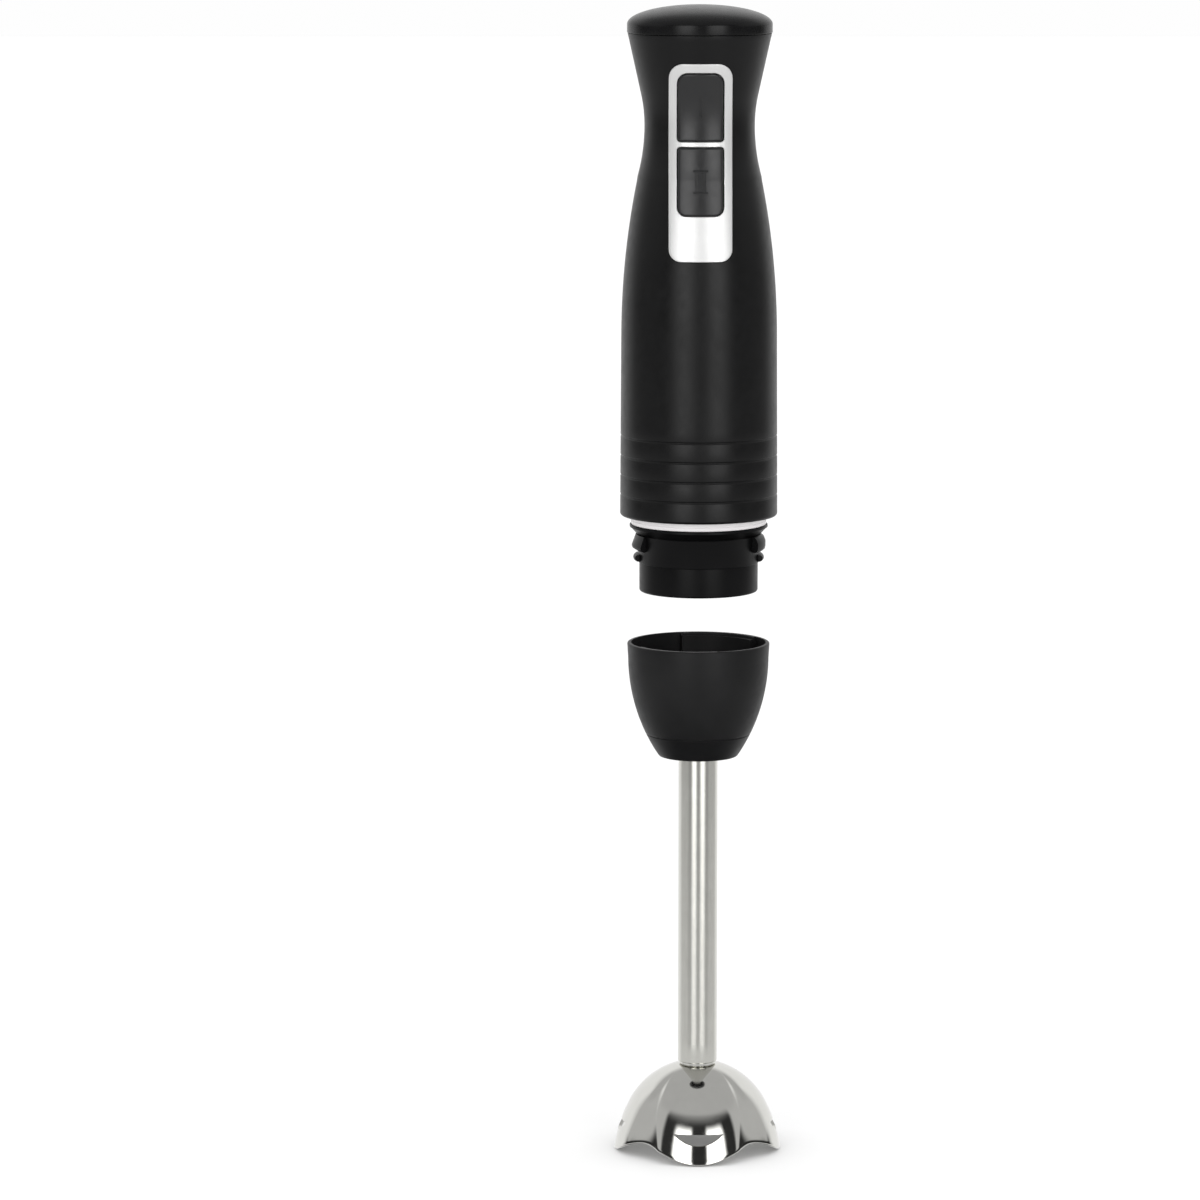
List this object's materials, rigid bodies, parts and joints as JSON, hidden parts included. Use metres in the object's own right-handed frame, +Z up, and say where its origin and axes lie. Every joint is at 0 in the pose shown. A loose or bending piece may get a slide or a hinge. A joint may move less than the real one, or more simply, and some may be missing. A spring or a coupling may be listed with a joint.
{
  "type": "immersion blender",
  "caption": "Hand-held immersion blender: waisted motor handle with rocker-style push buttons and a bayonet nose, and a steel blending shaft with a lobed bell guard and blade.",
  "frame": {"origin": "on the drive axis, at the level of the bell's feet", "axes": "+Z up along the drive axis from the blade to the top cap; the buttons face -Y; +X is to the viewer's right"},
  "size_m": [0.066, 0.066, 0.4523],
  "materials": {
    "cap_black": "satin moulded ABS",
    "body_black": "fine spark-eroded texture on moulded ABS",
    "button_grey": "soft satin plastic",
    "bezel_silver": "satin silver lacquer on plastic",
    "ring_white": "pale trim ring, satin",
    "nose_black": "smooth moulded nylon",
    "gland_rubber": "matte",
    "cup_black": "satin moulded plastic",
    "tube_steel": "drawn and polished stainless steel",
    "bell_steel": "mirror-polished stainless steel",
    "blade_steel": "ground stainless steel",
    "rod_steel": "ground bar",
    "plain_steel": "zinc-plated",
    "bush_bronze": "sintered bronze",
    "copper_wire": "enamelled copper",
    "magnet_ferrite": "sintered ferrite",
    "core_iron": "stacked laminations",
    "carbon": "pressed carbon",
    "inner_plastic": "natural nylon",
    "red_plastic": "moulded nylon",
    "dark_plastic": "moulded nylon",
    "board_green": "circuit board",
    "yellow_case": "box capacitor case",
    "seal_rubber": "silicone rubber",
    "lead_pvc": "wire insulation"
  },
  "bodies": {
    "handle": {"top_cap": "cap_black", "front_shell": "body_black", "rear_shell": "body_black", "case_screws": "plain_steel", "button_bezel": "bezel_silver", "collar_ring": "ring_white", "coupling_nose": "nose_black", "cord_gland": "gland_rubber", "control_board": "board_green", "board_screws": "plain_steel", "upper_switch": "dark_plastic", "lower_switch": "dark_plastic", "suppression_capacitor": "yellow_case", "bridge_rectifier": "dark_plastic", "choke_coil": "copper_wire", "motor_can": "plain_steel", "left_magnet": "magnet_ferrite", "right_magnet": "magnet_ferrite", "motor_end_plate": "dark_plastic", "motor_screws": "plain_steel", "lower_bearing": "bush_bronze", "upper_bearing": "bush_bronze", "front_brush_holder": "bush_bronze", "rear_brush_holder": "bush_bronze", "front_brush": "carbon", "rear_brush": "carbon", "front_brush_spring": "plain_steel", "rear_brush_spring": "plain_steel", "lower_mount_ring": "seal_rubber", "upper_mount_ring": "seal_rubber", "motor_leads": "lead_pvc", "upper_button_spring": "plain_steel", "lower_button_spring": "plain_steel"},
    "rotor": {"motor_shaft": "rod_steel", "armature_core": "core_iron", "armature_windings": "copper_wire", "commutator": "copper_wire", "cooling_fan": "inner_plastic", "drive_coupling": "red_plastic"},
    "upper_button": {"upper_button": "button_grey"},
    "lower_button": {"lower_button": "button_grey"},
    "upper_plunger": {"upper_plunger": "red_plastic"},
    "lower_plunger": {"lower_plunger": "red_plastic"},
    "gasket": {"cup_gasket": "seal_rubber"},
    "foot": {"adapter_cup": "cup_black", "cup_base": "cup_black", "tube_anchor": "dark_plastic", "anchor_screws": "plain_steel", "shaft_tube": "tube_steel", "upper_bush": "bush_bronze", "bush_carrier": "inner_plastic", "lower_bush": "bush_bronze", "shaft_seal": "seal_rubber", "bell_guard": "bell_steel"},
    "drive_line": {"drive_shaft": "rod_steel", "drive_spline": "inner_plastic", "retaining_clip": "plain_steel", "blade": "blade_steel", "blade_nut": "blade_steel"}
  },
  "joints": [
    {"name": "foot_slide", "type": "slide", "parent": "handle", "child": "gasket", "axis": [0, 0, 1], "range_m": [0, 0.0439]},
    {"name": "foot_twist", "type": "hinge", "parent": "gasket", "child": "foot", "pos_m": [0, 0, 0.2032], "axis": [0, 0, 1], "range_deg": [0, 45]},
    {"name": "motor_spin", "type": "hinge", "parent": "handle", "child": "rotor", "pos_m": [0, 0, 0.3], "axis": [0, 0, 1], "continuous": true},
    {"name": "blade_spin", "type": "hinge", "parent": "foot", "child": "drive_line", "pos_m": [0, 0, 0.1], "axis": [0, 0, 1], "continuous": true},
    {"name": "upper_button_press", "type": "slide", "parent": "handle", "child": "upper_button", "axis": [0, 1, 0], "range_m": [0, 0.0015], "stiffness_N_per_m": 900, "springref_m": -0.003, "deforming": ["upper_button_spring"]},
    {"name": "lower_button_press", "type": "slide", "parent": "handle", "child": "lower_button", "axis": [0, 1, 0], "range_m": [0, 0.0015], "stiffness_N_per_m": 900, "springref_m": -0.003, "deforming": ["lower_button_spring"]},
    {"name": "upper_plunger_press", "type": "slide", "parent": "handle", "child": "upper_plunger", "axis": [0, 1, 0], "range_m": [0, 0.0015]},
    {"name": "lower_plunger_press", "type": "slide", "parent": "handle", "child": "lower_plunger", "axis": [0, 1, 0], "range_m": [0, 0.0015]}
  ],
  "couplings": [
    {"joint": "blade_spin", "follows": "motor_spin", "ratio": 1},
    {"joint": "upper_plunger_press", "follows": "upper_button_press", "ratio": 1},
    {"joint": "lower_plunger_press", "follows": "lower_button_press", "ratio": 1}
  ]
}
